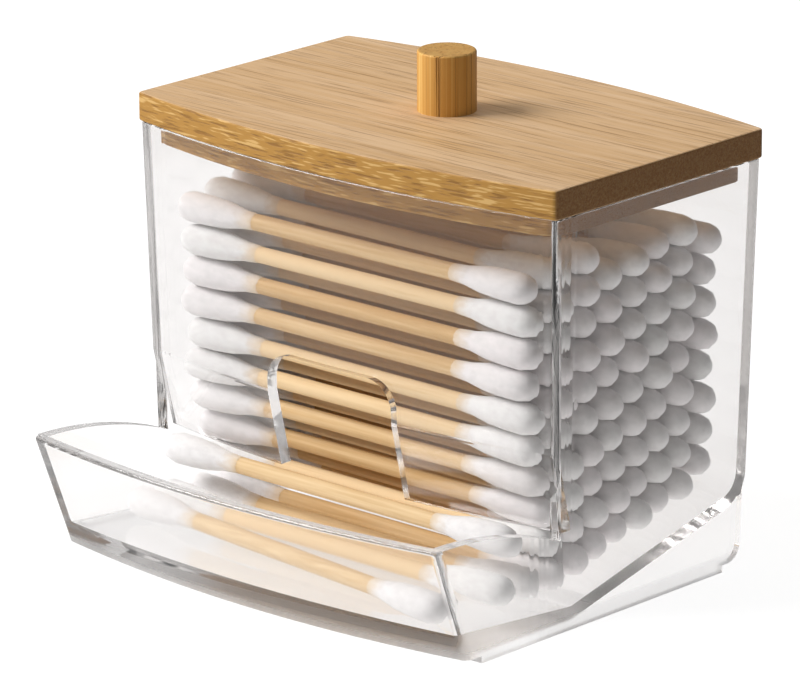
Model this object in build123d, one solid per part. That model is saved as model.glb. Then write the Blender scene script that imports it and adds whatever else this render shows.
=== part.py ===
from build123d import *

import os
from math import atan2, cos, degrees, hypot, radians, sin, sqrt, tan

# Clear swab dispenser: a moulded hopper with a tray in front, a bamboo lid with a knob, and the swabs in it.
# X runs across the dispenser, the tray faces -Y, Z is up and the foot rails stand on z = 0.

# Clear container
wall = 2.2
rim_width = 90.0
rim_depth = 49.4
rim_height = 68.0
wall_bow = 5.0
side_draft = 1.0
wall_draft = 1.7
foot_height = 1.2
foot_front_inset = 2.0
foot_back_inset = 4.2
heel_radius = 3.0
corner_radius = 1.5
rim_edge = 0.4

# Throat at the foot of the front wall, and the finger notch in it
bend_height = 29.2
throat_height = 16.2
throat_inset = 3.0
bend_radius = 1.5
notch_width = 27.0
notch_top = 36.2
notch_radius = 5.0

# Tray in front of the throat, and the ramp behind it
tray_reach = 25.8
lip_height = 20.7
lip_edge = 0.5
lip_lean = 20.5
fin_root_height = 15.4
toe_thickness = 4.7
valley_depth = 6.2
ramp_angle = 13.5
valley_radius = 3.0
knee_radius = 4.0

# Bamboo lid, its knob and the screw between them
lid_thickness = 4.8
lid_overhang = 0.2
lid_corner = 1.0
lid_edge = 0.4
plug_depth = 3.4
plug_gap = 0.5
plug_corner = 3.0
knob_radius = 4.8
knob_height = 10.0
knob_edge = 0.4
screw_radius = 1.5
screw_head_radius = 2.8
screw_head_land = 0.3
screw_length = 14.0
screw_gap = 0.05
recess_length = 3.0
recess_width = 0.7
recess_depth = 0.9

# Cotton swabs
swab_end_room = 7.0
stick_radius = 1.4
bud_radius = 2.55
bud_neck_radius = 1.65
bud_end_radius = 1.7
bud_neck_length = 5.5
bud_body_length = 7.0
bud_end_length = 2.2
swab_sides = 6
swab_gap = 0.12
swab_lift = 0.36
stack_pitch = 5.3
column_pitch = 5.5
fill_room = 8.0
end_play = 1.5
end_play_step = 2.4
jam_setback = 0.8
jam_drop = 1.6
loose_swab_setback = 10.5
loose_swab_yaw = 6.0

# Values worked out from the driving dimensions
plate_setback = 0.9 * corner_radius
spare = rim_width / 2
bow_swing = 160.0
bow_radius = ((rim_width / 2) ** 2 + wall_bow ** 2) / (2 * wall_bow)
front_face = -(rim_depth / 2 + wall_bow)
back_face = rim_depth / 2 + wall_bow
front_axis = front_face + bow_radius
back_axis = back_face - bow_radius
tray_front = front_face - tray_reach
valley_y = -(rim_depth / 2 - valley_depth)
valley_z = foot_height + wall
ramp_drop = wall / cos(radians(ramp_angle))
ramp_foot_y = valley_y + (foot_height - valley_z + ramp_drop) / tan(radians(ramp_angle))
fill_height = rim_height - fill_room
swab_length = rim_width - 2 * swab_end_room
bud_length = bud_neck_length + bud_body_length + bud_end_length
swab_pitch = 2 * bud_radius + swab_gap
screw_head_height = screw_head_radius - screw_radius
lid_top = rim_height + lid_thickness
plug_bottom = rim_height - plug_depth
lip_rounding = lip_edge * (tan(radians(lip_lean)) + 1 / cos(radians(lip_lean)) - 1)
frame_shift = -(tray_front + lip_rounding + back_face + lid_overhang) / 2


def plate_half(z):
    """Half the outside width of the container at height z."""
    return rim_width / 2 - (rim_height - z) * tan(radians(side_draft))


def front_wall_y(z):
    """Outer face of the front wall on the middle plane: drafted above the bend, slanting in below it."""
    drafted = front_face + (rim_height - max(z, bend_height)) * tan(radians(wall_draft))
    slant = throat_inset / (bend_height - throat_height)
    return drafted + max(bend_height - z, 0) * slant


def back_wall_y(z):
    """Outer face of the back wall on the middle plane."""
    return back_face - (rim_height - z) * tan(radians(wall_draft))


def lip_y(z):
    """Outer face of the tray lip on the middle plane."""
    return tray_front + (lip_height - z) * tan(radians(lip_lean))


def ramp_z(y):
    """Top of the ramp behind the valley."""
    return valley_z + (y - valley_y) * tan(radians(ramp_angle))


def floor_z(y):
    """Top of the tray floor in front of the valley."""
    toe_y = lip_y(foot_height)
    return valley_z + (toe_thickness - wall) * (valley_y - y) / (valley_y - toe_y)


def bowed_front(mid_y, x):
    """Where a face that crosses the middle plane at mid_y lies at x, on the front bow."""
    return front_axis - sqrt((front_axis - mid_y) ** 2 - x ** 2)


def bowed_back(mid_y, x):
    """Where a face that crosses the middle plane at mid_y lies at x, on the back bow."""
    return back_axis + sqrt((mid_y - back_axis) ** 2 - x ** 2)


def side_prism(inset):
    """Everything between the drafted side planes, each moved in by inset."""
    low, high = -spare, rim_height + spare
    corners = [
        (-plate_half(low) + inset, low),
        (plate_half(low) - inset, low),
        (plate_half(high) - inset, high),
        (-plate_half(high) + inset, high),
    ]
    return extrude(Plane.XZ * make_face(Polyline(*corners, close=True)), 3 * spare, both=True)


def across(points):
    """A middle-plane outline of (y, z) points, carried straight across the container."""
    return extrude(Plane.YZ * make_face(Polyline(*points, close=True)), rim_width, both=True)


def bowed(points, axis_y):
    """A middle-plane outline of (y, z) points, swung round the upright axis of a bow."""
    axis = Axis((0, axis_y, 0), (0, 0, 1))
    swept = revolve(Plane.YZ * make_face(Polyline(*points, close=True)), axis, bow_swing)
    return swept.rotate(axis, -bow_swing / 2)


def rounded(body, points, radius):
    """The body with the edges nearest these points rounded."""
    return fillet([body.edges().sort_by_distance(point)[0] for point in points], radius)


def both_sides(y, z):
    """The points on the two side planes at this y and z."""
    return [Vector(x, y, z) for x in (-plate_half(z), plate_half(z))]


def front_corners(mid_y, z):
    """The two outer corners, at height z, of a wall on the front bow that crosses the middle plane at mid_y."""
    return both_sides(bowed_front(mid_y, plate_half(z)), z)


def plate_front(mid_y, z):
    """Front of a side plate at height z, behind a wall that crosses the middle plane at mid_y."""
    return (bowed_front(mid_y, plate_half(z)) + plate_setback, z)


def plate_back(z):
    """Back of a side plate at height z."""
    return (bowed_back(back_wall_y(z), plate_half(z)) - plate_setback, z)


def plate_outline():
    """One side plate in the (y, z) plane: hopper side, curved fin, leaning tip, foot rail and heel."""
    tip = plate_front(lip_y(lip_height), lip_height)
    fin_root = plate_front(front_wall_y(bend_height), fin_root_height)
    toe = plate_front(lip_y(foot_height), foot_height)
    heel = plate_back(foot_height)
    foot_front = toe[0] + foot_front_inset
    foot_back = heel[0] - foot_back_inset
    straight = Polyline(
        tip,
        toe,
        (foot_front, foot_height),
        (foot_front, 0),
        (foot_back, 0),
        (foot_back, foot_height),
        heel,
        plate_back(rim_height),
        plate_front(front_wall_y(rim_height), rim_height),
        fin_root,
    )
    outline = make_face(straight + TangentArc(tip, fin_root, tangent=(1, 0)))
    return fillet(outline.vertices().sort_by_distance(Vector(*heel, 0))[0], heel_radius)


def side_plates():
    """Both side plates, leaning in by the side draft."""
    block = extrude(Plane.YZ * plate_outline(), rim_width, both=True)
    return block & side_prism(0) - side_prism(wall)


def front_wall():
    """The bowed front wall with its slanting throat."""
    heights = [rim_height, bend_height, throat_height]
    outer = [(front_wall_y(z), z) for z in heights]
    inner = [(front_wall_y(z) + wall, z) for z in reversed(heights)]
    body = bowed(outer + inner, front_axis) & side_prism(0)
    upper, lower = (rim_height + bend_height) / 2, (bend_height + throat_height) / 2
    corners = front_corners(front_wall_y(upper), upper) + front_corners(front_wall_y(lower), lower)
    return rounded(body, corners, corner_radius)


def tray_lip():
    """The leaning bowed lip of the tray."""
    outer = [(lip_y(lip_height), lip_height), (lip_y(foot_height), foot_height)]
    inner = [(y + wall, z) for y, z in reversed(outer)]
    body = bowed(outer + inner, front_axis) & side_prism(0)
    middle = (lip_height + foot_height) / 2
    body = rounded(body, front_corners(lip_y(middle), middle), corner_radius)
    top = lip_y(lip_height)
    return rounded(body, [Vector(0, y, lip_height) for y in (top, top + wall)], lip_edge)


def space_under_ramp():
    """The open wedge under the ramp."""
    back = back_face + spare
    return across([
        (ramp_foot_y, foot_height),
        (back, ramp_z(back) - ramp_drop),
        (back, -spare),
        (ramp_foot_y, -spare),
    ])


def back_wall():
    """The bowed back wall, cut off in line with the underside of the ramp."""
    outer = [(back_wall_y(rim_height), rim_height), (back_wall_y(foot_height), foot_height)]
    inner = [(y - wall, z) for y, z in reversed(outer)]
    return (bowed(outer + inner, back_axis) & side_prism(0)) - space_under_ramp()


def floor_and_ramp():
    """The tray floor and the ramp behind it, ending inside the lip, the back wall and the side plates."""
    toe_y = lip_y(foot_height)
    slab = across([
        (toe_y, foot_height),
        (toe_y, floor_z(toe_y)),
        (valley_y, valley_z),
        (back_face, ramp_z(back_face)),
        (back_face, ramp_z(back_face) - ramp_drop),
        (ramp_foot_y, foot_height),
    ])
    behind_lip = bowed(
        [
            (front_axis, 0),
            (lip_y(0) + wall / 2, 0),
            (lip_y(rim_height) + wall / 2, rim_height),
            (front_axis, rim_height),
        ],
        front_axis,
    )
    before_back = bowed(
        [
            (back_axis, 0),
            (back_wall_y(0) - wall / 2, 0),
            (back_wall_y(rim_height) - wall / 2, rim_height),
            (back_axis, rim_height),
        ],
        back_axis,
    )
    return slab & behind_lip & before_back & side_prism(wall / 2)


def finger_notch():
    """The tool that cuts the finger notch, open at the throat's lower edge."""
    low = throat_height - notch_radius
    face = Pos(0, (low + notch_top) / 2) * RectangleRounded(notch_width, notch_top - low, notch_radius)
    start = front_face - wall
    depth = front_wall_y(throat_height) + 2 * wall - start
    return Pos(0, start, 0) * extrude(Plane.XZ * face, -depth)


def knee_point(inset, drop):
    """Where the back wall, moved in by inset, crosses the ramp, moved down by drop, on the middle plane."""
    lean, slope = tan(radians(wall_draft)), tan(radians(ramp_angle))
    level = valley_z - drop - valley_y * slope
    y = (back_face - inset - (rim_height - level) * lean) / (1 - slope * lean)
    return Vector(0, y, ramp_z(y) - drop)


def container():
    """The whole clear moulding."""
    walls = side_plates() + front_wall() + tray_lip() + floor_and_ramp() + back_wall()
    body = walls - finger_notch()
    body = rounded(body, [knee_point(wall, 0)], knee_radius)
    body = rounded(body, [knee_point(0, ramp_drop)], knee_radius + wall)
    body = rounded(body, [Vector(0, valley_y, valley_z)], valley_radius)
    bend_x = (notch_width + rim_width) / 4
    bend_y = bowed_front(front_wall_y(bend_height), bend_x)
    body = rounded(body, [Vector(x, bend_y, bend_height) for x in (-bend_x, bend_x)], bend_radius)
    middle = (rim_height + lip_height) / 2
    body = rounded(body, both_sides(bowed_back(back_wall_y(middle), plate_half(middle)), middle), corner_radius)
    return fillet(body.edges().group_by(Axis.Z)[-1], rim_edge)


def bowed_board(half_width, half_depth, corner, thickness):
    """A board with straight sides, bowed front and back edges and rounded corners."""
    reach = half_depth + wall_bow
    outline = make_face(
        Line((-half_width, half_depth), (-half_width, -half_depth))
        + ThreePointArc((-half_width, -half_depth), (0, -reach), (half_width, -half_depth))
        + Line((half_width, -half_depth), (half_width, half_depth))
        + ThreePointArc((half_width, half_depth), (0, reach), (-half_width, half_depth))
    )
    return extrude(fillet(outline.vertices(), corner), thickness)


def lid_board():
    """The bamboo lid: a board that lies on the rim and a plug that drops inside it."""
    board = bowed_board(rim_width / 2 + lid_overhang, rim_depth / 2 + lid_overhang, lid_corner, lid_thickness)
    rounded = board.edges().group_by(Axis.Z)[-1] + board.edges().group_by(Axis.Z)[0]
    board = Pos(0, 0, rim_height) * fillet(rounded, lid_edge)
    inset = wall + plug_gap
    plug = bowed_board(rim_width / 2 - inset, rim_depth / 2 - inset, plug_corner, plug_depth)
    lid = board + Pos(0, 0, plug_bottom) * plug
    return lid - screw_hole()


def screw_profile(gap, length):
    """Half section of the countersunk screw, grown by gap."""
    return make_face(Polyline(
        (0, 0),
        (screw_head_radius + gap, 0),
        (screw_head_radius + gap, screw_head_land),
        (screw_radius + gap, screw_head_land + screw_head_height),
        (screw_radius + gap, length),
        (0, length),
        close=True,
    ))


def screw_solid(gap, length):
    """The countersunk screw standing on its head in the plug's underside."""
    return Pos(0, 0, plug_bottom) * revolve(Plane.XZ * screw_profile(gap, length), Axis.Z)


def screw_hole():
    """The countersunk clearance hole for the screw, blind in the knob."""
    return screw_solid(screw_gap, screw_length + screw_radius)


def knob_screw():
    """The screw that holds the knob, with a cross recess in its head."""
    bars = Box(recess_length, recess_width, 2 * recess_depth) + Box(recess_width, recess_length, 2 * recess_depth)
    return screw_solid(0, screw_length) - Pos(0, 0, plug_bottom) * bars


def knob():
    """The bamboo peg on top of the lid."""
    peg = extrude(Circle(knob_radius), knob_height)
    peg = fillet(peg.edges().group_by(Axis.Z)[-1], knob_edge)
    return Pos(0, 0, lid_top) * peg - screw_hole()


def swab_stick():
    """One stick along X between its two buds."""
    length = swab_length - 2 * bud_length
    stick = extrude(RegularPolygon(stick_radius, swab_sides), length).solid()
    return Pos(-length / 2, 0, 0) * Rot(0, 90, 0) * stick


def swab_bud():
    """One faceted bud along +Z: a slim neck, a full body and a narrowed end."""
    flat = cos(radians(180 / swab_sides))
    neck_lean = degrees(atan2((bud_radius - bud_neck_radius) * flat, bud_neck_length))
    end_lean = degrees(atan2((bud_radius - bud_end_radius) * flat, bud_end_length))
    bud = extrude(RegularPolygon(bud_radius, swab_sides), bud_length)
    for side in range(swab_sides):
        turn = Rot(0, 0, (side + 0.5) * 360 / swab_sides)
        neck = turn * Pos(bud_neck_radius * flat, 0, 0) * Rot(0, 90 + neck_lean, 0)
        end = turn * Pos(bud_end_radius * flat, 0, bud_length) * Rot(0, 90 - end_lean, 0)
        for cut in (neck, end):
            bud = split(bud, bisect_by=Plane(cut), keep=Keep.BOTTOM)
    return bud.solid()


def swab_buds():
    """The two buds of one swab along X."""
    right = Pos(swab_length / 2 - bud_length, 0, 0) * Rot(0, 90, 0) * swab_bud()
    return [right, right.rotate(Axis.Z, 180)]


def hopper_span(z):
    """Foremost and rearmost places at height z where a swab clears the bowed walls along its whole length."""
    reach = swab_length / 2 + end_play
    room = bud_radius + swab_gap
    front = bowed_front(front_wall_y(z) + wall, reach) + room
    back = bowed_back(back_wall_y(z) - wall, reach) - room
    return front, back


def floor_swab_z(y):
    """Height of a swab that lies on the tray floor."""
    return floor_z(y) + bud_radius + swab_lift


def jammed_swab():
    """Centre of the swab that is caught under the throat's edge."""
    return (front_wall_y(throat_height) - jam_setback, throat_height - jam_drop)


def loose_swabs():
    """Centres of the two swabs on the tray floor: one askew behind the lip, one square behind it."""
    askew = lip_y(foot_height) + loose_swab_setback
    square = askew + swab_length / 2 * sin(radians(loose_swab_yaw)) + 2 * (bud_radius + swab_gap)
    return (askew, floor_swab_z(askew)), (square, floor_swab_z(square))


def column_y(share, z):
    """Where a column of swabs stands at height z; its share of the hopper's depth is 0 in front and 1 at the back."""
    front, back = hopper_span(max(z, throat_height))
    return front + (back - front) * share


def stacked_swabs(taken):
    """Centres of the swabs that stand in columns on the ramp, the first column out in front of the throat."""
    front, back = hopper_span(bend_height)
    last = int((back - front) / column_pitch)
    knee_lift = max(knee_radius - bud_radius, 0)
    centres = []
    for column in range(-1, last + 1):
        share = column / last
        y = column_y(share, throat_height)
        z = max(floor_z(y), ramp_z(y)) + bud_radius / cos(radians(ramp_angle)) + swab_lift
        if column == last:
            z += knee_lift
        top = throat_height if column < 0 else fill_height
        while z + bud_radius + swab_gap <= top:
            y = column_y(share, z)
            if all(hypot(y - other[0], z - other[1]) > swab_pitch for other in taken):
                centres.append((y, z))
            z += stack_pitch
    return centres


def swab_places():
    """Where each swab lies, as two lists of locations: in the hopper, and out in the tray."""
    jammed = jammed_swab()
    askew, square = loose_swabs()
    hopper = []
    tray = [Pos(0, *jammed), Pos(0, *square), Pos(0, *askew) * Rot(0, 0, -loose_swab_yaw)]
    throat = bowed_front(front_wall_y(throat_height), swab_length / 2)
    for number, (y, z) in enumerate(stacked_swabs([jammed, askew, square])):
        place = Pos(end_play * sin(end_play_step * number), y, z)
        if y < throat:
            tray.append(place)
        else:
            hopper.append(place)
    return hopper, tray


def sticks_at(places):
    """The sticks of the swabs at these places."""
    stick = swab_stick()
    return [place * stick for place in places]


def buds_at(places):
    """The buds of the swabs at these places."""
    buds = swab_buds()
    return [place * bud for place in places for bud in buds]


def main():
    """Build every piece and write it in the part's own frame."""
    hopper, tray = swab_places()
    pieces = {
        "container": container().solids(),
        "lid_board": lid_board().solids(),
        "knob": knob().solids(),
        "knob_screw": knob_screw().solids(),
        "hopper_swab_sticks": sticks_at(hopper),
        "hopper_swab_tips": buds_at(hopper),
        "tray_swab_sticks": sticks_at(tray),
        "tray_swab_tips": buds_at(tray),
    }
    frame = Pos(0, frame_shift, 0)
    os.makedirs("parts", exist_ok=True)
    for name, solids in pieces.items():
        export_step(Compound([frame * solid for solid in solids]), f"parts/{name}.step")
    print("swabs in the hopper:", len(hopper), "in the tray:", len(tray))


main()
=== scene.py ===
import logging
import math
import random
from dataclasses import dataclass
from enum import Enum

import bmesh
import bpy
import numpy as np
from mathutils import Matrix, Vector


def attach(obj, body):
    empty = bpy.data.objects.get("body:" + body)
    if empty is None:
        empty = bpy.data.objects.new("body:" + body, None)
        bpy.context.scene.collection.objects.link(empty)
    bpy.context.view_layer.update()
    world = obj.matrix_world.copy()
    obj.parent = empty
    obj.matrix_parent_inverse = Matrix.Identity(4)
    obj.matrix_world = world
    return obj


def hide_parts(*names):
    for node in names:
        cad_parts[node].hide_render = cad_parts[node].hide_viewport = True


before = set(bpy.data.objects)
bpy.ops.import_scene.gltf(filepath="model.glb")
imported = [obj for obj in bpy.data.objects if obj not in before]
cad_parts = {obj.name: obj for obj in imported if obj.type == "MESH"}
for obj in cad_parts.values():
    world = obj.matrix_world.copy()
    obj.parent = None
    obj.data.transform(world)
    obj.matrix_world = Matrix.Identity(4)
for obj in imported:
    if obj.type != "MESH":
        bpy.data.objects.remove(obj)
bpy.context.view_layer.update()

log = logging.getLogger("swab_dispenser")

MM = 0.001
Colour = tuple[float, float, float, float]
Triple = tuple[float, float, float]
Socket = bpy.types.NodeSocket

# Where a Mix node keeps its factor, its two inputs and its result, for colours and for numbers
MIX_FACTOR = 0
MIX_COLOURS = (6, 7)
MIX_COLOUR_RESULT = 2
MIX_NUMBERS = (2, 3)
MIX_NUMBER_RESULT = 0


class Body(Enum):
    """The rigid body that new pieces ride on."""

    CONTAINER = "container"


class Slot(Enum):
    """The record's material slots that new pieces take."""

    STICK = "stick_wood"
    COTTON = "cotton"


class Grain(Enum):
    """Which way the fibres of a bamboo piece run, as the turn that lays them along X."""

    ALONG_X = (0.0, 0.0, 0.0)
    ALONG_Z = (0.0, math.radians(90.0), 0.0)


class ShaderGraph:
    """One material's node tree, with short calls that add nodes and join them."""

    def __init__(self, name: str) -> None:
        """Start a material that holds one Principled shader.

        Args:
            name: The material's name.
        """
        self.material = bpy.data.materials.new(name)
        self.material.use_nodes = True
        self.tree = self.material.node_tree
        self.shader = self.tree.nodes["Principled BSDF"]
        self.output = self.tree.nodes["Material Output"]

    def add(self, kind: str, **settings: object) -> bpy.types.Node:
        """Add a node.

        Args:
            kind: The node's type name.
            **settings: Attributes to set on the node.

        Returns:
            The new node.
        """
        node = self.tree.nodes.new(kind)
        for key, value in settings.items():
            setattr(node, key, value)
        return node

    def feed(self, source: Socket | Colour | float, target: Socket) -> None:
        """Join a socket to another, or set a constant on it.

        Args:
            source: The socket or the constant.
            target: The socket that takes it.
        """
        if isinstance(source, Socket):
            self.tree.links.new(source, target)
        else:
            target.default_value = source

    def constants(self, **values: object) -> None:
        """Set the shader's own sockets; underscores in a name stand for spaces."""
        for name, value in values.items():
            self.shader.inputs[name.replace("_", " ")].default_value = value

    def colour(self, source: Socket) -> None:
        """Join a socket to the shader's base colour."""
        self.feed(source, self.shader.inputs["Base Color"])

    def object_place(self, scale: Triple, grain: Grain = Grain.ALONG_X) -> Socket:
        """Object coordinates, turned to a grain and scaled.

        Args:
            scale: Pattern frequency along and across the grain, per metre.
            grain: Which way the grain runs.

        Returns:
            The vector socket.
        """
        coordinates = self.add("ShaderNodeTexCoord")
        turned = self.add("ShaderNodeMapping")
        turned.inputs["Rotation"].default_value = grain.value
        stretched = self.add("ShaderNodeMapping")
        stretched.inputs["Scale"].default_value = scale
        self.feed(coordinates.outputs["Object"], turned.inputs["Vector"])
        self.feed(turned.outputs["Vector"], stretched.inputs["Vector"])
        return stretched.outputs["Vector"]

    def noise(self, place: Socket, detail: float, roughness: float = 0.5) -> Socket:
        """Noise at a place that is already scaled.

        Args:
            place: The vector socket that it reads.
            detail: Octaves of finer noise.
            roughness: How strong the finer octaves are.

        Returns:
            The factor socket.
        """
        texture = self.add("ShaderNodeTexNoise")
        texture.inputs["Scale"].default_value = 1.0
        texture.inputs["Detail"].default_value = detail
        texture.inputs["Roughness"].default_value = roughness
        self.feed(place, texture.inputs["Vector"])
        return texture.outputs["Fac"]

    def facing(self, axis: str, low: float, high: float) -> Socket:
        """How squarely the surface faces along an axis, either way.

        Args:
            axis: The axis's letter.
            low: Share of the axis in the normal where the factor starts from 0.
            high: Share where it reaches 1.

        Returns:
            The factor socket.
        """
        coordinates = self.add("ShaderNodeTexCoord")
        parts = self.add("ShaderNodeSeparateXYZ")
        self.feed(coordinates.outputs["Normal"], parts.inputs[0])
        share = self.add("ShaderNodeMath", operation="ABSOLUTE")
        self.feed(parts.outputs[axis], share.inputs[0])
        return self.spread(share.outputs[0], low, high)

    def height(self, low: float, high: float) -> Socket:
        """How far up a place is between two heights, which may also count downwards.

        Args:
            low: Height in metres where the factor is 0.
            high: Height in metres where it reaches 1.

        Returns:
            The factor socket.
        """
        coordinates = self.add("ShaderNodeTexCoord")
        parts = self.add("ShaderNodeSeparateXYZ")
        self.feed(coordinates.outputs["Object"], parts.inputs[0])
        return self.spread(parts.outputs["Z"], low, high)

    def distance(self, x: float, y: float) -> Socket:
        """How far a place lies from an upright line at x or its mirror image at -x.

        Args:
            x: Where the line stands across the object, in metres.
            y: Where it stands along the object, in metres.

        Returns:
            The distance socket, in metres.
        """
        coordinates = self.add("ShaderNodeTexCoord")
        level = self.add("ShaderNodeMapping")
        level.inputs["Location"].default_value = (0.0, -y, 0.0)
        level.inputs["Scale"].default_value = (1.0, 1.0, 0.0)
        mirrored = self.add("ShaderNodeVectorMath", operation="ABSOLUTE")
        offset = self.add("ShaderNodeVectorMath", operation="SUBTRACT")
        offset.inputs[1].default_value = (x, 0.0, 0.0)
        reach = self.add("ShaderNodeVectorMath", operation="LENGTH")
        self.feed(coordinates.outputs["Object"], level.inputs["Vector"])
        self.feed(level.outputs["Vector"], mirrored.inputs[0])
        self.feed(mirrored.outputs["Vector"], offset.inputs[0])
        self.feed(offset.outputs["Vector"], reach.inputs[0])
        return reach.outputs["Value"]

    def spread(self, factor: Socket, low: float, high: float, top: float = 1.0) -> Socket:
        """Spread a stretch of a factor over the whole range.

        Args:
            factor: What drives it.
            low: Where the result is 0.
            high: Where the result reaches its top.
            top: The result's highest value.

        Returns:
            The clamped factor socket.
        """
        node = self.add("ShaderNodeMapRange", clamp=True)
        for name, value in (("From Min", low), ("From Max", high), ("To Max", top)):
            node.inputs[name].default_value = value
        self.feed(factor, node.inputs["Value"])
        return node.outputs["Result"]

    def mix(self, factor: Socket | float, first: Socket | Colour, second: Socket | Colour) -> Socket:
        """Mix two colours.

        Args:
            factor: How much of the second shows.
            first: The colour below.
            second: The colour above.

        Returns:
            The mixed colour socket.
        """
        node = self.add("ShaderNodeMix", data_type="RGBA")
        self.feed(factor, node.inputs[MIX_FACTOR])
        for colour, socket in zip((first, second), MIX_COLOURS):
            self.feed(colour, node.inputs[socket])
        return node.outputs[MIX_COLOUR_RESULT]

    def blend(self, factor: Socket | float, first: Socket | float, second: Socket | float) -> Socket:
        """Mix two factors.

        Args:
            factor: How much of the second counts.
            first: The first factor.
            second: The second factor.

        Returns:
            The mixed factor socket.
        """
        node = self.add("ShaderNodeMix", data_type="FLOAT")
        self.feed(factor, node.inputs[MIX_FACTOR])
        for number, socket in zip((first, second), MIX_NUMBERS):
            self.feed(number, node.inputs[socket])
        return node.outputs[MIX_NUMBER_RESULT]

    def bump(self, height: Socket, distance: float, strength: float = 1.0) -> None:
        """Raise the surface by a height.

        Args:
            height: What drives it.
            distance: Height of a full step in metres.
            strength: Share of the full effect.
        """
        node = self.add("ShaderNodeBump")
        node.inputs["Strength"].default_value = strength
        node.inputs["Distance"].default_value = distance
        self.feed(height, node.inputs["Height"])
        self.feed(node.outputs["Normal"], self.shader.inputs["Normal"])


@dataclass(frozen=True)
class ClearPlastic:
    """Polished clear moulded plastic, which greys where it is looked through along a wall.

    It has faint flow waves, upright draw streaks beside the front corners and a scuffed underside.
    """

    tint: Colour = (0.955, 0.945, 0.94, 1.0)
    body: Colour = (0.50, 0.47, 0.45, 1.0)
    density: float = 13.0
    index: float = 1.49
    roughness: float = 0.045
    scuffed: float = 0.38
    scuff_top: float = 2.3 * MM
    scuff_fade: float = 0.4 * MM
    streak_height: float = 0.15 * MM
    wave_share: float = 0.1
    wave_frequency: float = 60.0
    wave_detail: float = 1.0
    draw_across: float = 620.0
    draw_along: float = 9.0
    corner_x: float = 44.2 * MM
    corner_y: float = -11.9 * MM
    corner_reach: float = 7.5 * MM
    corner_core: float = 4.0 * MM

    def material(self) -> bpy.types.Material:
        """Build the material, which also lets lamps light what is behind it.

        Returns:
            The material.
        """
        graph = ShaderGraph("clear_plastic")
        graph.constants(Base_Color=self.tint, IOR=self.index, Transmission_Weight=1.0)
        worn = graph.height(self.scuff_top + self.scuff_fade, self.scuff_top)
        graph.feed(graph.blend(worn, self.roughness, self.scuffed), graph.shader.inputs["Roughness"])
        flow = graph.noise(graph.object_place((self.wave_frequency,) * 3), self.wave_detail)
        waves = graph.spread(flow, 0.0, 1.0, self.wave_share)
        upright = graph.object_place((self.draw_across, self.draw_across, self.draw_along))
        streaks = graph.noise(upright, self.wave_detail)
        away = graph.distance(self.corner_x, self.corner_y)
        at_corner = graph.spread(away, self.corner_reach, self.corner_core)
        graph.bump(graph.blend(at_corner, waves, streaks), self.streak_height)
        depth = graph.add("ShaderNodeVolumeAbsorption")
        graph.feed(self.body, depth.inputs["Color"])
        graph.feed(self.density, depth.inputs["Density"])
        graph.feed(depth.outputs["Volume"], graph.output.inputs["Volume"])
        path = graph.add("ShaderNodeLightPath")
        passing = graph.add("ShaderNodeBsdfTransparent")
        either = graph.add("ShaderNodeMixShader")
        lighting = graph.add("ShaderNodeMath", operation="MAXIMUM")
        graph.feed(path.outputs["Is Shadow Ray"], lighting.inputs[0])
        graph.feed(path.outputs["Is Diffuse Ray"], lighting.inputs[1])
        graph.feed(lighting.outputs[0], either.inputs[0])
        graph.feed(graph.shader.outputs["BSDF"], either.inputs[1])
        graph.feed(passing.outputs["BSDF"], either.inputs[2])
        graph.feed(either.outputs["Shader"], graph.output.inputs["Surface"])
        return graph.material


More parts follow.
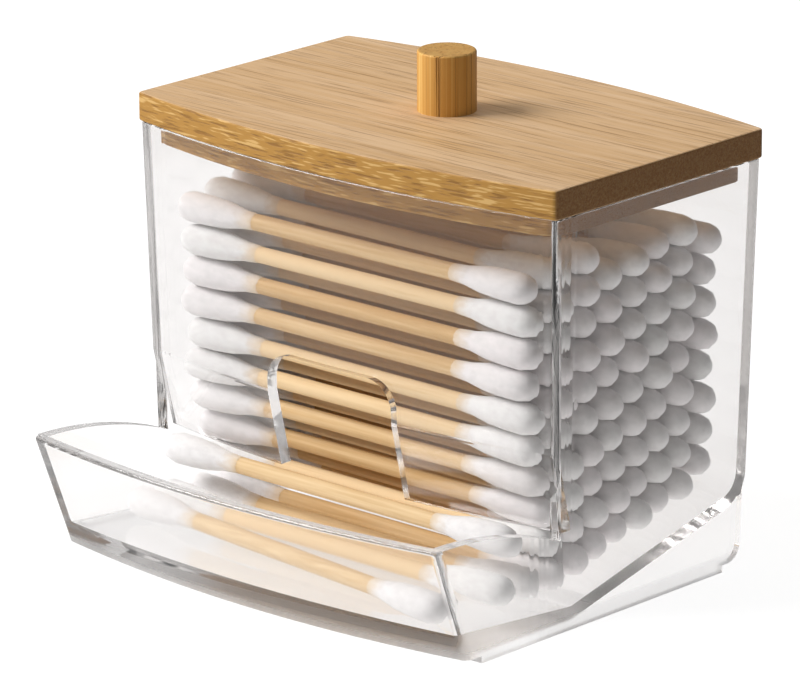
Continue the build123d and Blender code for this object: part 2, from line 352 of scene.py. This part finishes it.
@dataclass(frozen=True)
class Bamboo:
    """Satin bamboo, with streaks and fine pores on the flats, fibre dashes with painted highlights on the
    edges, an edge tone that is partly painted light, and dark end grain that is partly painted shade.

    Frequencies are per metre. A start and a full value say which stretch of the noise a mark takes.
    """

    name: str
    grain: Grain
    pale: Colour
    golden: Colour
    # edge faces' tone, partly their own grain and partly painted light: deeper than the top on the board,
    # brighter than the shaded sides on the knob
    edge_grain_and_painted_light: Colour
    # painted highlight: the lighter colour of the raised fibre dashes on the edge faces
    painted_glint: Colour
    fibre: Colour
    edge_axis: str
    end_axis: str
    streak_along: float = 22.0
    streak_across: float = 800.0
    streak_detail: float = 3.0
    strip_along: float = 3.0
    strip_across: float = 90.0
    strip_detail: float = 1.0
    strip_share: float = 0.4
    tone_start: float = 0.30
    tone_full: float = 0.68
    pore_along: float = 70.0
    pore_across: float = 3000.0
    pore_detail: float = 2.0
    pore_start: float = 0.55
    pore_full: float = 0.70
    pore_depth: float = 0.55
    dash_along: float = 230.0
    dash_deep: float = 40.0
    dash_across: float = 2600.0
    dash_detail: float = 1.0
    dash_start: float = 0.57
    dash_full: float = 0.68
    dash_depth: float = 0.55
    glint_start: float = 0.42
    glint_full: float = 0.34
    edge_start: float = 0.4
    edge_full: float = 0.7
    end_start: float = 0.6
    end_full: float = 0.85
    # how dark the end faces get: their own end grain, and on the board's ends also painted shade
    end_grain_and_painted_shade: float = 0.97
    end_gold: float = 0.28
    speck_frequency: float = 3000.0
    speck_detail: float = 2.0
    speck_start: float = 0.3
    speck_full: float = 0.7
    groove_depth: float = 0.25 * MM
    groove_strength: float = 0.6
    roughness: float = 0.48
    gloss: float = 0.22

    def material(self) -> bpy.types.Material:
        """Build the material.

        Returns:
            The material.
        """
        graph = ShaderGraph(self.name)
        graph.constants(Roughness=self.roughness, Specular_IOR_Level=self.gloss)
        streaks = self.along_grain(graph, self.streak_along, self.streak_across, self.streak_detail)
        strips = self.along_grain(graph, self.strip_along, self.strip_across, self.strip_detail)
        fine = self.along_grain(graph, self.pore_along, self.pore_across, self.pore_detail)
        pores = graph.spread(fine, self.pore_start, self.pore_full, self.pore_depth)
        level = graph.object_place((self.dash_along, self.dash_deep, self.dash_across), self.grain)
        coarse = graph.noise(level, self.dash_detail)
        dashes = graph.spread(coarse, self.dash_start, self.dash_full, self.dash_depth)
        # Painted highlights: where the dash noise is low, the edge faces take the lighter highlight colour
        painted_glints = graph.spread(coarse, self.glint_start, self.glint_full)
        tone = graph.spread(graph.blend(self.strip_share, streaks, strips), self.tone_start, self.tone_full)
        at_edge = graph.facing(self.edge_axis, self.edge_start, self.edge_full)
        grooves = graph.blend(at_edge, pores, dashes)
        flat = graph.mix(tone, self.golden, self.pale)
        edge_grain_and_painted_light = graph.mix(painted_glints, self.edge_grain_and_painted_light, self.painted_glint)
        # The edge faces take their own tone, partly their grain and partly painted light that sets them apart
        # from the top and the sides
        wood = graph.mix(grooves, graph.mix(at_edge, flat, edge_grain_and_painted_light), self.fibre)
        cut = graph.noise(graph.object_place((self.speck_frequency,) * 3), self.speck_detail)
        specks = graph.spread(cut, self.speck_start, self.speck_full, self.end_gold)
        end = graph.mix(specks, self.fibre, self.golden)
        # End faces darken towards the dark fibre: real end grain, and on the board also painted shade matched
        # to its shaded right end, laid on both ends
        at_end = graph.facing(self.end_axis, self.end_start, self.end_full)
        shade = graph.spread(at_end, 0.0, 1.0, self.end_grain_and_painted_shade)
        graph.colour(graph.mix(shade, wood, end))
        sunk = graph.spread(grooves, 1.0, 0.0)
        graph.bump(sunk, self.groove_depth, self.groove_strength)
        return graph.material

    def along_grain(self, graph: ShaderGraph, along: float, across: float, detail: float) -> Socket:
        """Noise that is drawn out along the grain.

        Args:
            graph: The material's nodes.
            along: Frequency along the grain, per metre.
            across: Frequency across it, per metre.
            detail: Octaves of finer noise.

        Returns:
            The factor socket.
        """
        return graph.noise(graph.object_place((along, across, across), self.grain), detail)


@dataclass(frozen=True)
class StickWood:
    """Raw pale wood of the swab sticks, each stick a little different."""

    pale: Colour = (0.84, 0.62, 0.36, 1.0)
    warm: Colour = (0.62, 0.39, 0.17, 1.0)
    roughness: float = 0.7
    gloss: float = 0.25
    grain_scale: Triple = (60.0, 1500.0, 1500.0)
    grain_detail: float = 3.0
    tone_share: float = 0.45
    pale_start: float = 0.32
    pale_full: float = 0.66
    grain_height: float = 0.05 * MM
    grain_strength: float = 0.4

    def material(self) -> bpy.types.Material:
        """Build the material.

        Returns:
            The material.
        """
        graph = ShaderGraph("stick_wood")
        graph.constants(Roughness=self.roughness, Specular_IOR_Level=self.gloss)
        grain = graph.noise(graph.object_place(self.grain_scale), self.grain_detail)
        tone = graph.add("ShaderNodeAttribute", attribute_name="tone").outputs["Fac"]
        mixed = graph.blend(self.tone_share, grain, tone)
        paleness = graph.spread(mixed, self.pale_start, self.pale_full)
        graph.colour(graph.mix(paleness, self.warm, self.pale))
        graph.bump(grain, self.grain_height, self.grain_strength)
        return graph.material


@dataclass(frozen=True)
class Cotton:
    """Soft white cotton wound on the sticks."""

    white: Colour = (0.86, 0.855, 0.84, 1.0)
    blush: Colour = (0.87, 0.82, 0.825, 1.0)
    shade: Colour = (0.78, 0.755, 0.75, 1.0)
    wisp: Colour = (0.76, 0.60, 0.42, 1.0)
    roughness: float = 0.95
    gloss: float = 0.1
    sheen: float = 0.25
    sheen_roughness: float = 0.6
    fluff_scale: Triple = (500.0, 800.0, 800.0)
    fluff_detail: float = 5.0
    fluff_roughness: float = 0.6
    white_start: float = 0.3
    white_full: float = 0.6
    wrap_share: float = 0.6
    wrap_start: float = 0.2
    wrap_full: float = 0.6
    fluff_height: float = 0.3 * MM
    fluff_strength: float = 0.35

    def material(self) -> bpy.types.Material:
        """Build the material.

        Returns:
            The material.
        """
        graph = ShaderGraph("cotton")
        graph.constants(Roughness=self.roughness, Specular_IOR_Level=self.gloss,
                        Sheen_Weight=self.sheen, Sheen_Roughness=self.sheen_roughness)
        fluff = graph.noise(graph.object_place(self.fluff_scale), self.fluff_detail, self.fluff_roughness)
        tone = graph.add("ShaderNodeAttribute", attribute_name="tone").outputs["Fac"]
        raised = graph.spread(fluff, self.white_start, self.white_full)
        fleece = graph.mix(raised, self.shade, graph.mix(tone, self.blush, self.white))
        wrap = graph.add("ShaderNodeAttribute", attribute_name="wrap").outputs["Fac"]
        wound = graph.spread(graph.blend(self.wrap_share, fluff, wrap), self.wrap_start, self.wrap_full)
        graph.colour(graph.mix(wound, self.wisp, fleece))
        graph.bump(fluff, self.fluff_height, self.fluff_strength)
        return graph.material


@dataclass(frozen=True)
class PlatedSteel:
    """Plated steel of the hidden screw."""

    grey: Colour = (0.60, 0.60, 0.61, 1.0)
    brush_scale: Triple = (2500.0, 2500.0, 400.0)
    brush_detail: float = 2.0
    roughest: float = 0.7

    def material(self) -> bpy.types.Material:
        """Build the material.

        Returns:
            The material.
        """
        graph = ShaderGraph("screw_steel")
        graph.constants(Base_Color=self.grey, Metallic=1.0)
        brushing = graph.noise(graph.object_place(self.brush_scale), self.brush_detail)
        graph.feed(graph.spread(brushing, 0.0, 1.0, self.roughest), graph.shader.inputs["Roughness"])
        return graph.material


def dress(node: str, material: bpy.types.Material) -> None:
    """Give a CAD node its finish.

    Args:
        node: The node's name.
        material: The finish.
    """
    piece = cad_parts[node]
    if not piece.material_slots:
        piece.data.materials.append(material)
    for slot in piece.material_slots:
        slot.material = material
    log.info("%s: %d faces of its own, dressed in %s", node, len(piece.data.polygons), material.name)


@dataclass
class Container:
    """The clear moulding: hopper, throat, notch, ramp and tray in one piece."""

    finish: ClearPlastic = ClearPlastic()

    def build(self) -> None:
        """Dress the moulding in clear plastic."""
        dress("container", self.finish.material())


@dataclass
class BambooLid:
    """The bamboo board with its plug, its knob and the screw between them."""

    board_finish: Bamboo = Bamboo(
        "bamboo_board", Grain.ALONG_X, pale=(0.71, 0.485, 0.285, 1.0), golden=(0.58, 0.35, 0.155, 1.0),
        edge_grain_and_painted_light=(0.47, 0.243, 0.055, 1.0), painted_glint=(0.68, 0.42, 0.15, 1.0), fibre=(0.20, 0.085, 0.02, 1.0),
        edge_axis="Y", end_axis="X")
    knob_finish: Bamboo = Bamboo(
        "bamboo_knob", Grain.ALONG_Z, pale=(0.76, 0.47, 0.15, 1.0), golden=(0.60, 0.31, 0.075, 1.0),
        edge_grain_and_painted_light=(0.76, 0.40, 0.10, 1.0), painted_glint=(0.88, 0.56, 0.18, 1.0), fibre=(0.21, 0.085, 0.02, 1.0),
        edge_axis="Y", end_axis="Z", streak_across=1300.0, strip_across=800.0,
        pore_along=14.0, pore_across=1700.0, pore_start=0.57, pore_full=0.66,
        dash_along=12.0, dash_deep=2000.0, dash_across=2000.0,
        dash_start=0.60, dash_full=0.67, dash_depth=0.75, end_grain_and_painted_shade=0.35)
    screw_finish: PlatedSteel = PlatedSteel()

    def build(self) -> None:
        """Dress the board, the knob and the screw."""
        dress("lid_board", self.board_finish.material())
        dress("knob", self.knob_finish.material())
        dress("knob_screw", self.screw_finish.material())


@dataclass
class CottonSwabs:
    """Swabs that lie where one pair of CAD nodes puts them.

    The bud's outline runs from its neck to its tip, as millimetres past the stick's end and radii.
    """

    sticks_node: str
    tips_node: str
    seed: int
    stick_radius: float = 1.4 * MM
    stick_sides: int = 10
    stick_sink: float = 6.0 * MM
    bud_sides: int = 12
    bud_outline: tuple[tuple[float, float], ...] = (
        (-2.0, 1.42), (1.0, 1.62), (4.5, 2.25), (8.0, 2.52),
        (11.8, 2.58), (13.4, 2.2), (14.4, 1.25), (14.7, 0.0))
    wrap_length: float = 5.0 * MM
    end_play_kept: float = 0.4
    sway: float = math.radians(0.4)
    weld: float = 0.002 * MM
    pole_weld: float = 0.001 * MM
    order_digits: int = 5
    sharp_angle: float = math.radians(70.0)

    def __post_init__(self) -> None:
        """Read where the CAD node's sticks lie, and how long they are."""
        shape = bmesh.new()
        shape.from_mesh(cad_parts[self.sticks_node].data)
        bmesh.ops.remove_doubles(shape, verts=shape.verts, dist=self.weld)
        self.places: list[Matrix] = []
        self.half_stick = 0.0
        waiting = set(shape.verts)
        while waiting:
            island = [waiting.pop()]
            for vert in island:
                near = {e.other_vert(vert) for e in vert.link_edges} & waiting
                waiting -= near
                island.extend(near)
            self.note_stick(np.array([v.co for v in island]))
        shape.free()
        self.places.sort(key=lambda place: tuple(round(c, self.order_digits) for c in place.translation.zyx))

    def note_stick(self, points: np.ndarray) -> None:
        """Keep one stick's place, with the stick along local X.

        Args:
            points: The stick's corners.
        """
        middle = points.mean(axis=0)
        along = np.linalg.svd(points - middle)[2][0]
        along = along if along[0] > 0 else -along
        self.half_stick = float(np.abs((points - middle) @ along).max())
        turn = Vector(along).to_track_quat("X", "Z").to_matrix().to_4x4()
        middle[0] *= self.end_play_kept
        self.places.append(Matrix.Translation(Vector(middle)) @ turn)

    def one_stick(self) -> bpy.types.Mesh:
        """One round stick along X, sunk into its buds.

        Returns:
            The stick's mesh.
        """
        shape = bmesh.new()
        bmesh.ops.create_cone(shape, cap_ends=True, segments=self.stick_sides, radius1=self.stick_radius,
                              radius2=self.stick_radius, depth=2 * (self.half_stick + self.stick_sink),
                              matrix=Matrix.Rotation(math.pi / 2, 4, "Y"))
        return self.kept(shape, "stick")

    def one_pair_of_buds(self) -> bpy.types.Mesh:
        """Both buds of one swab, spun from their outline.

        Returns:
            One mesh with both buds, which marks how far each place is from the neck.
        """
        shape = bmesh.new()
        points = [shape.verts.new((self.half_stick + x * MM, 0, r * MM)) for x, r in self.bud_outline]
        outline = [shape.edges.new(pair) for pair in zip(points, points[1:])]
        bmesh.ops.spin(shape, geom=points + outline, cent=(0, 0, 0), axis=(1, 0, 0), angle=2 * math.pi,
                       steps=self.bud_sides, use_merge=True)
        bmesh.ops.remove_doubles(shape, verts=shape.verts, dist=self.pole_weld)
        bud = shape.verts[:] + shape.edges[:] + shape.faces[:]
        bmesh.ops.mirror(shape, geom=bud, axis="X", merge_dist=-1.0)
        bmesh.ops.recalc_face_normals(shape, faces=shape.faces)
        wrap = shape.verts.layers.float.new("wrap")
        neck = self.half_stick + self.bud_outline[0][0] * MM
        for vert in shape.verts:
            vert[wrap] = min((abs(vert.co.x) - neck) / self.wrap_length, 1.0)
        return self.kept(shape, "buds")

    def kept(self, shape: bmesh.types.BMesh, name: str) -> bpy.types.Mesh:
        """Keep a bmesh as a mesh, and free it.

        Args:
            shape: The bmesh.
            name: The mesh's name.

        Returns:
            The mesh.
        """
        mesh = bpy.data.meshes.new(name)
        shape.to_mesh(mesh)
        shape.free()
        return mesh

    def scattered(self, pattern: bpy.types.Mesh) -> bmesh.types.BMesh:
        """Copies of a mesh at every place, each rolled, swayed a little and given its own tone.

        Args:
            pattern: The mesh to copy, along X.

        Returns:
            One bmesh with all the copies.
        """
        chance = random.Random(self.seed)
        shape = bmesh.new()
        tone = shape.faces.layers.float.new("tone")
        for place in self.places:
            roll = Matrix.Rotation(chance.uniform(0, 2 * math.pi), 4, "X")
            sway = Matrix.Rotation(chance.uniform(-self.sway, self.sway), 4, "Z")
            value = chance.random()
            first = len(shape.verts)
            known = len(shape.faces)
            shape.from_mesh(pattern)
            shape.verts.ensure_lookup_table()
            shape.faces.ensure_lookup_table()
            bmesh.ops.transform(shape, matrix=place @ sway @ roll, verts=shape.verts[first:])
            for face in shape.faces[known:]:
                face[tone] = value
        bpy.data.meshes.remove(pattern)
        return shape

    def add_piece(self, shape: bmesh.types.BMesh, node: str,
                  material: bpy.types.Material) -> None:
        """Turn a finished bmesh into a piece that stands for a CAD node.

        Args:
            shape: The bmesh, which is freed.
            node: The CAD node that it replaces.
            material: Its finish.
        """
        mesh = self.kept(shape, node + "_round")
        mesh.shade_smooth()
        mesh.set_sharp_from_angle(angle=self.sharp_angle)
        mesh.materials.append(material)
        piece = bpy.data.objects.new(mesh.name, mesh)
        bpy.context.scene.collection.objects.link(piece)
        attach(piece, Body.CONTAINER.value)
        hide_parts(node)
        log.info("%s: %d faces", piece.name, len(mesh.polygons))

    def build(self, wood: bpy.types.Material, cotton: bpy.types.Material) -> None:
        """Build the sticks and the buds.

        Args:
            wood: Finish of the sticks.
            cotton: Finish of the buds.
        """
        self.add_piece(self.scattered(self.one_stick()), self.sticks_node, wood)
        self.add_piece(self.scattered(self.one_pair_of_buds()), self.tips_node, cotton)


@dataclass
class Studio:
    """Pale floor, soft lamps, a dark card on the shaded side and the camera."""

    floor_radius: float = 6.0
    floor_sides: int = 96
    floor_colour: Colour = (0.23, 0.23, 0.23, 1.0)
    floor_glow: float = 0.88
    floor_gap: float = 0.2 * MM
    gleam_near: float = 72.0 * MM
    gleam_far: float = 105.0 * MM
    stage_roughness: float = 0.9
    stage_gloss: float = 0.1
    key_place: Triple = (-0.95, -0.80, 1.10)
    key_power: float = 27.0
    key_size: float = 0.8
    top_place: Triple = (-0.10, 0.25, 1.60)
    top_power: float = 7.6
    top_size: float = 1.2
    lamp_aim: Triple = (0.0, 0.0, 0.04)
    world_colour: Colour = (0.97, 0.98, 1.0, 1.0)
    world_light: float = 0.25
    world_seen: float = 0.60
    card_place: float = 0.22
    card_width: float = 0.9
    card_height: float = 0.5
    card_colour: Colour = (0.03, 0.03, 0.03, 1.0)
    light_bounces: int = 20
    camera_place: Triple = (0.6684, -0.7230, 0.3378)
    camera_aim: Triple = (-0.0045, 0.0062, 0.0334)
    camera_roll: float = math.radians(-0.26)
    camera_lens: float = 288.65
    camera_reach: float = 50.0
    sensor: float = 36.0

    def add_stage(self, name: str, shape: bmesh.types.BMesh, colour: Colour, glow: float) -> bpy.types.Object:
        """Add a matt piece of the stage.

        Args:
            name: Its name.
            shape: Its bmesh, which is freed.
            colour: Its colour.
            glow: How brightly it is lit from within, as a light table is. Away from the object it glows
                less in reflections, so that the walls stay clear.

        Returns:
            The new object.
        """
        mesh = bpy.data.meshes.new(name)
        shape.to_mesh(mesh)
        shape.free()
        graph = ShaderGraph(name)
        graph.constants(Base_Color=colour, Roughness=self.stage_roughness,
                        Specular_IOR_Level=self.stage_gloss)
        path = graph.add("ShaderNodeLightPath")
        mirrored = graph.add("ShaderNodeMath", operation="MULTIPLY")
        graph.feed(path.outputs["Is Reflection Ray"], mirrored.inputs[0])
        graph.feed(path.outputs["Is Glossy Ray"], mirrored.inputs[1])
        dimmed = graph.add("ShaderNodeMath", operation="MULTIPLY")
        graph.feed(mirrored.outputs[0], dimmed.inputs[0])
        away = graph.spread(graph.distance(0.0, 0.0), self.gleam_near, self.gleam_far)
        graph.feed(away, dimmed.inputs[1])
        graph.feed(graph.spread(dimmed.outputs[0], 1.0, 0.0, glow), graph.shader.inputs["Emission Strength"])
        mesh.materials.append(graph.material)
        piece = bpy.data.objects.new(name, mesh)
        bpy.context.scene.collection.objects.link(piece)
        return piece

    def build_floor(self) -> None:
        """Lay a large pale disc under the foot rails."""
        shape = bmesh.new()
        bmesh.ops.create_circle(shape, cap_ends=True, segments=self.floor_sides, radius=self.floor_radius,
                                matrix=Matrix.Translation((0.0, 0.0, -self.floor_gap)))
        self.add_stage("floor", shape, self.floor_colour, self.floor_glow)

    def build_card(self) -> None:
        """Stand a dark card on the shaded side, which only keeps light off and never shows."""
        shape = bmesh.new()
        upright = Matrix.Rotation(math.pi / 2, 4, "Y")
        size = Matrix.Diagonal((self.card_height / 2, self.card_width / 2, 1.0, 1.0))
        place = Matrix.Translation((self.card_place, 0.0, self.card_height / 2))
        bmesh.ops.create_grid(shape, x_segments=1, y_segments=1, size=1.0, matrix=place @ upright @ size)
        card = self.add_stage("dark_card", shape, self.card_colour, 0.0)
        card.visible_camera = False
        card.visible_glossy = False
        card.visible_transmission = False

    def add_lamp(self, name: str, place: Triple, power: float, size: float) -> None:
        """Add a square soft lamp that faces the object.

        Args:
            name: The lamp's name.
            place: Where it hangs.
            power: Its power in watts.
            size: Its side in metres.
        """
        light = bpy.data.lights.new(name, "AREA")
        light.energy = power
        light.size = size
        lamp = bpy.data.objects.new(name, light)
        lamp.location = place
        look = Vector(self.lamp_aim) - Vector(place)
        lamp.rotation_euler = look.to_track_quat("-Z", "Y").to_euler()
        bpy.context.scene.collection.objects.link(lamp)

    def build_light(self) -> None:
        """Hang the lamps, set the world's soft light and let light cross every clear wall."""
        self.add_lamp("key", self.key_place, self.key_power, self.key_size)
        self.add_lamp("top", self.top_place, self.top_power, self.top_size)
        world = bpy.data.worlds.new("studio")
        world.use_nodes = True
        background = world.node_tree.nodes["Background"]
        background.inputs["Color"].default_value = self.world_colour
        path = world.node_tree.nodes.new("ShaderNodeLightPath")
        shown = world.node_tree.nodes.new("ShaderNodeMapRange")
        shown.inputs["To Min"].default_value = self.world_light
        shown.inputs["To Max"].default_value = self.world_seen
        world.node_tree.links.new(path.outputs["Is Transmission Ray"], shown.inputs["Value"])
        world.node_tree.links.new(shown.outputs["Result"], background.inputs["Strength"])
        scene = bpy.context.scene
        scene.world = world
        scene.view_settings.view_transform = "Standard"
        scene.cycles.max_bounces = self.light_bounces
        scene.cycles.transmission_bounces = self.light_bounces
        scene.cycles.glossy_bounces = self.light_bounces
        scene.cycles.transparent_max_bounces = self.light_bounces

    def build_camera(self) -> None:
        """Set the camera at the photograph's angle."""
        data = bpy.data.cameras.new("camera")
        data.lens = self.camera_lens
        data.sensor_width = self.sensor
        data.sensor_fit = "HORIZONTAL"
        data.clip_end = self.camera_reach
        camera = bpy.data.objects.new("camera", data)
        place = Vector(self.camera_place)
        look = (Vector(self.camera_aim) - place).to_track_quat("-Z", "Y").to_matrix().to_4x4()
        roll = Matrix.Rotation(self.camera_roll, 4, "Z")
        camera.matrix_world = Matrix.Translation(place) @ look @ roll
        bpy.context.scene.collection.objects.link(camera)
        bpy.context.scene.camera = camera

    def build(self) -> None:
        """Build the whole studio."""
        self.build_floor()
        self.build_card()
        self.build_light()
        self.build_camera()


def main() -> None:
    """Build every piece in order."""
    logging.basicConfig(level=logging.INFO, format="%(name)s: %(message)s")
    Container().build()
    BambooLid().build()
    wood = StickWood().material()
    cotton = Cotton().material()
    CottonSwabs("hopper_swab_sticks", "hopper_swab_tips", seed=7).build(wood, cotton)
    CottonSwabs("tray_swab_sticks", "tray_swab_tips", seed=11).build(wood, cotton)
    Studio().build()


if __name__ == "__main__":
    main()
